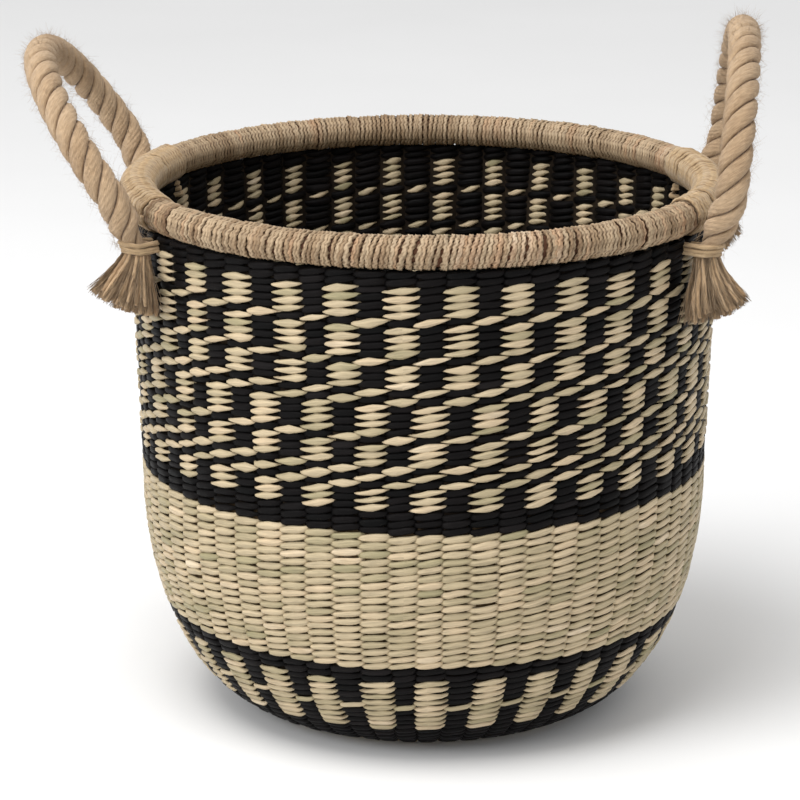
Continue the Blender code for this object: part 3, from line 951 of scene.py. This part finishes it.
def rope_lobe():
    """One strand's outline in a tight rope: a third of the circle with its edges rounded in.

    Gives each point's angle from the strand's middle, its radius as a share of the rope's, and
    its painted shade, dark at the strand's edges in the grooves. The last points run back near the
    rope's axis, so that the strand is closed.
    """
    outer = np.linspace(-1, 1, ROPE_SIDES - BACK_POINTS)
    edge = np.abs(outer)
    radius = 1.01 - 0.10 * edge ** 2 - 0.17 * edge ** 5
    back = np.linspace(0.8, -0.8, BACK_POINTS)
    angle = np.concatenate((outer, back)) * pi / ROPE_STRANDS
    radius = np.concatenate((radius, 0.10 + 0.25 * np.abs(back)))
    # Painted shade: dark at the strand's edges, in the grooves between strands, and black on the hidden
    # back.
    shade = np.concatenate((np.clip(1.05 - 0.9 * edge ** 4, 0, 1), np.zeros(BACK_POINTS)))
    return angle, radius, shade


def lay_rope(side):
    """Three strands, each a helix round the handle's line with ridges for its yarns."""
    line, gone = handle_line(side)
    first, second = carried_frame(line)
    size = rope_sizes(gone)[None, :, None]
    lay = 2 * pi * gone / ROPE_LAY
    turn = lay[None, :, None] + np.arange(ROPE_STRANDS)[:, None, None] * 2 * pi / ROPE_STRANDS
    lobe, size_out, shade = rope_lobe()
    ridges = YARN_RIDGES * ROPE_STRANDS * lobe - YARN_TWIST * lay[None, :, None]
    radius = size * size_out * (1 + YARN_RELIEF * np.cos(ridges))
    points = line[:, None] + radius[..., None] * outline(turn + lobe, first, second)
    draw = np.random.default_rng(31 if side == "left" else 32)
    drift = sum(np.sin(gone * rate + draw.uniform(0, 6)) for rate in (40, 95))
    tone = np.clip(0.5 + 0.12 * drift[None] + draw.normal(0, 0.12, (ROPE_STRANDS, 1)), 0, 1)
    print(side, "handle rope:", round(float(gone[-1]), 3), "m from lashing to lashing")
    return strand_mesh(f"{side}_rope", points, False, tone, shade, ROPE, 0.03), line, first, second


def rope_hairs(side, line, first, second):
    """Loose fibres: short curved needles that start on the rope and lie mostly along it."""
    draw = np.random.default_rng(41 if side == "left" else 42)
    spot = draw.integers(8, len(line) - 8, HAIR_COUNT)
    turn = draw.uniform(0, 2 * pi, HAIR_COUNT)
    out = np.cos(turn)[:, None] * first[spot] + np.sin(turn)[:, None] * second[spot]
    tangent = unit(np.gradient(line, axis=0)[spot])
    length = draw.uniform(*HAIR_LENGTH, HAIR_COUNT)[:, None, None]
    along = draw.normal(0, 1.0, HAIR_COUNT)[:, None]
    bend = draw.normal(0, 0.5, (HAIR_COUNT, 3))[:, None]
    heading = unit(out * draw.uniform(0.25, 0.9, HAIR_COUNT)[:, None] + tangent * along)
    part = np.linspace(0, 1, 4)[:, None]
    path = (line[spot] + out * ROPE_RADIUS * 0.90)[:, None]
    path = path + length * (heading[:, None] * part + bend * 0.45 * part ** 2)
    thick = HAIR_RADIUS * (1 - 0.7 * part[..., None])
    corner = np.arange(3) * 2 * pi / 3
    across = np.cross(heading, out)
    points = path[:, :, None] + thick * outline(corner, out[:, None], across[:, None])
    tone = np.broadcast_to(draw.uniform(0.4, 1, (HAIR_COUNT, 1)), points.shape[:2])
    return strand_mesh(f"{side}_rope_hairs", points, False, tone, None, ROPE, 0.001)


BLEND_BELOW, BLEND_ABOVE = 0.012, 0.020  # lengths of rope either side of the hinge

for side in ("left", "right"):
    rope, line, first, second = lay_rope(side)
    hairs = rope_hairs(side, line, first, second)
    hinge, out, along = handle_frame(side)
    mean_lean = (LEG_LEAN + LEAN[side]) / 2
    up = out * sin(mean_lean) + np.array([0, 0, cos(mean_lean)])
    for piece in (rope, hairs):
        tuple(hinge - up * BLEND_BELOW)
        tuple(hinge + up * BLEND_ABOVE)
        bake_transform(piece)
    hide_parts(f"{side}_handle_loop", f"{side}_front_leg", f"{side}_back_leg")

# %% [markdown]
# ## Lashings
# Thin yarn goes three times round each rope end and through the wall, so it also crosses on the
# inside. Each turn is a closed loop that is round outside the rope and runs straight in.

# %% Lashings
YARN_RADIUS = 0.0015
LOOPS, LOOP_PITCH = 3, 0.0029
LOOP_STATIONS, LOOP_SIDES = 48, 10


def lash(side, spot):
    """Three loops, one under the other, round the rope's waist and through the wall."""
    middle = box_middle(f"{side}_{spot}_lashing")
    out, along = facing(middle)
    draw = np.random.default_rng(50 + len(side) * 3 + len(spot))
    turn = np.arange(LOOP_STATIONS) * 2 * pi / LOOP_STATIONS
    wall = np.interp(arc_at(middle[2]), ARC, RADIUS) - WALL_THICKNESS
    ring = float(np.hypot(middle[0], middle[1]))
    deep = ring - wall + 0.6 * YARN_RADIUS
    wide = WAIST_RADIUS + YARN_RADIUS * 0.9
    x = np.where(np.cos(turn) > 0, wide * np.cos(turn), deep * -np.abs(np.cos(turn)) ** 0.6)
    y = wide * np.sin(turn) * (1 - 0.62 * np.clip(-np.cos(turn), 0, 1) ** 0.8)
    loops = []
    corner = np.arange(LOOP_SIDES) * 2 * pi / LOOP_SIDES
    ridge = 1 + 0.10 * np.cos(3 * corner + np.arange(LOOP_STATIONS)[:, None] * 0.9)
    for number in range(LOOPS):
        height = ((LOOPS - 1) / 2 - number) * LOOP_PITCH + draw.normal(0, 0.0003)
        tilt = draw.normal(0, 0.0009)
        z = height + tilt * np.sin(turn) + 0.38 * x * np.tan(LEG_LEAN) * (x > 0)
        centre = middle + np.outer(x + 0.38 * height, out) + np.outer(y, along)
        centre[:, 2] += z
        ahead = unit(np.roll(centre, -1, 0) - np.roll(centre, 1, 0))
        level = unit(np.cross(ahead, [0, 0, 1.0]))
        round_yarn = outline(corner, level, np.cross(level, ahead))
        loops.append(centre[:, None] + YARN_RADIUS * ridge[..., None] * round_yarn)
    points = np.array(loops)
    tone = np.broadcast_to(draw.uniform(0.3, 0.8, (LOOPS, 1)), points.shape[:2])
    made = strand_mesh(f"{side}_{spot}_lashing_yarn", points, True, tone, None, YARN, 0.011)
    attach(made, "basket")
    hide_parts(f"{side}_{spot}_lashing")


for side in ("left", "right"):
    for spot in ("front", "back"):
        lash(side, spot)

# %% [markdown]
# ## Frayed tails
# Below its lashing the rope's strands are opened out into their yarns. A tail could be one flared
# block with a bump, but its outline would be wrong. So it is many thin yarns that leave the waist
# together and fan out, each with its own length and wave, and finer fibres among them.

# %% Tails
TAIL_LENGTH = {"left": 0.037, "right": 0.040}
TAIL_BEND = {"left": 0.26, "right": 0.42}
TAIL_TUCK, TAIL_SET_BACK = 0.003, 0.0012  # where it starts: up inside the lashing, and in
TAIL_RUN_IN = 0.004  # the length that the lashing hides
GOLDEN_ANGLE = 2.39996
TAIL_PARTS = (
    # name, how many, waist's radius, half thickness, spread, stations, sides
    ("yarns", 84, 0.0066, 0.00145, radians(34), 12, 7),
    ("fibres", 900, 0.0074, 0.0002, radians(38), 9, 3),
)


def fan(name, start, axes, sizes, length, slow, seed):
    """Yarns that leave a waist together, pointing down, and turn to their own directions.

    A yarn's place in the waist sets its direction. Its path is the sum of a straight run in that
    direction and a bend that dies out, so that it leaves the waist along the rope.
    """
    draw = np.random.default_rng(seed)
    out, along = axes
    count, waist, thick, spread, stations, sides = sizes
    number = np.arange(count) + 0.5
    far = np.sqrt(number / count)
    turn = number * GOLDEN_ANGLE + draw.normal(0, 0.25, count)
    x, y = far * np.cos(turn), far * np.sin(turn)
    swing = radians(23) + radians(31) * y + draw.normal(0, 0.05, count)
    lean = spread * x + draw.normal(0, 0.05, count)
    down = np.array([0, 0, -1.0])
    aim = unit(np.outer(np.tan(swing), out) + np.outer(np.tan(lean), along) + down)
    part = np.linspace(0, 1, stations)[None, :, None]
    run = (length * draw.uniform(0.90, 1.03, count) * (1.02 - 0.08 * y))[:, None, None]
    bend = slow * (1 - np.exp(-part / slow))
    path = start + waist * (x[:, None, None] * along + y[:, None, None] * out)
    path = path + run * (aim[:, None] * part + (down - aim)[:, None] * bend)
    phase = draw.uniform(0, 2 * pi, (count, 1, 1))
    wave = 0.0012 * part * np.sin(part * draw.uniform(4, 9, (count, 1, 1)) + phase)
    path = path + wave * along + wave * np.cos(phase) * out
    side = unit(np.cross(aim, out))
    corner = np.arange(sides) * 2 * pi / sides
    twist = part * 9.0 + phase
    ridge = 1 + 0.16 * np.cos(3 * (corner - twist))
    taper = np.interp(part, (0, 0.8, 1), (0.9, 1.15, 0.75))
    width = thick * draw.uniform(0.8, 1.2, (count, 1, 1)) * taper * ridge
    round_yarn = outline(corner, side[:, None], np.cross(side, aim)[:, None])
    points = path[:, :, None] + width[..., None] * round_yarn
    tone = np.broadcast_to(np.clip(draw.normal(0.5, 0.22, (count, 1)), 0, 1), points.shape[:2])
    # Painted shade: darker towards the middle of the bundle and in the grooves of each yarn.
    shade = np.clip(0.40 + 0.5 * far[:, None, None] + 0.35 * (ridge - 1) / 0.16, 0, 1)
    return strand_mesh(name, points, False, tone, shade, TAIL, 0.009)


def fray(side, spot):
    """One rope end's tail: thick yarns, and thin fibres that fan a little wider."""
    waist = box_middle(f"{side}_{spot}_lashing")
    out, along = facing(waist)
    start = waist + np.array([0, 0, TAIL_TUCK]) - out * TAIL_SET_BACK
    seed = 60 + len(side) * 7 + len(spot)
    length = TAIL_LENGTH[side] + TAIL_RUN_IN
    name = f"{side}_{spot}_tail"
    for number, (part, *sizes) in enumerate(TAIL_PARTS):
        piece = fan(
            f"{name}_{part}", start, (out, along), sizes, length, TAIL_BEND[side], seed + number,
        )
        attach(piece, "basket")
        if part == "yarns":
            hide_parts(name)


for side in ("left", "right"):
    for spot in ("front", "back"):
        fray(side, spot)

# %% [markdown]
# ## Seat wraps
# Between a handle's legs the rim is wound once more with coarser yarn, where the rope may rub.

# %% Seats
SEAT_MARGIN = 0.030  # radians between a leg and the winding
SEAT_PITCH = 0.0036
SEAT_RADIUS = 0.0108
SEAT_HALF_WIDTH, SEAT_HALF_DEPTH = 0.00200, 0.0013
SEAT_TWISTS, SEAT_GROOVE = 8.0, 0.32


def wind_seat(side):
    """A coarser helix over the rim between a handle's legs."""
    legs = [box_middle(f"{side}_{spot}_leg") for spot in ("front", "back")]
    ends = sorted(float(np.arctan2(leg[0], -leg[1])) for leg in legs)
    if ends[1] - ends[0] > pi:
        ends = [ends[1], ends[0] + 2 * pi]
    low, high = ends[0] + SEAT_MARGIN, ends[1] - SEAT_MARGIN
    turns = int((high - low) * RIM_RADIUS / SEAT_PITCH)
    draw = np.random.default_rng(71 if side == "left" else 72)
    place = np.arange(turns * WRAP_STATIONS + 1) / WRAP_STATIONS
    turn = 2 * pi * place
    step = (high - low) / turns
    lean = 1.0 + per_turn(draw, turns + 2, place, 0.6)
    slip = per_turn(draw, turns + 2, place, 0.2)
    angle = low + step * (place + slip + 0.5 * lean * np.sin(turn - 0.6))
    size = SEAT_RADIUS + per_turn(draw, turns + 2, place, 0.0003)
    x, y, groove = two_ply(place, SEAT_TWISTS, SEAT_HALF_WIDTH, SEAT_HALF_DEPTH, SEAT_GROOVE)
    points = on_rim(angle[:, None] + x / RIM_RADIUS, turn[:, None], size[:, None] + y)
    tone = np.clip(0.5 + per_turn(draw, turns + 2, place, 0.16), 0, 1)
    # Painted shade: dark in the grooves between plies and on the yarn's side towards the rim.
    shade = np.clip((0.30 + 0.70 * groove) * (0.55 + 0.75 * y / SEAT_HALF_DEPTH), 0, 1)
    made = strand_mesh(f"{side}_seat_yarn", points[None], False, tone[None], shade, YARN, 0.009)
    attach(made, "basket")
    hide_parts(f"{side}_rim_seat_wrap")


for side in ("left", "right"):
    wind_seat(side)

# %% [markdown]
# ## The floor
# A pale floor that is much wider than the view gives a plain ground and a soft contact shadow.

# %% Floor
FLOOR_HALF, FLOOR_HEIGHT = 12.0, -0.0006


def add_floor():
    """One large pale sheet just under the base."""
    mesh = bpy.data.meshes.new("floor")
    corners = [
        (x * FLOOR_HALF, y * FLOOR_HALF, FLOOR_HEIGHT)
        for x, y in ((-1, -1), (1, -1), (1, 1), (-1, 1))
    ]
    mesh.from_pydata(corners, [], [(0, 1, 2, 3)])
    made = Finish("floor_paper")
    grain = made.noise(made.place(3))
    mesh.materials.append(made.done(made.ramp(grain, ((0, (0.80,) * 3), (1, (0.84,) * 3))), 0.9, 0.1))
    floor = bpy.data.objects.new("floor", mesh)
    bpy.context.scene.collection.objects.link(floor)


add_floor()
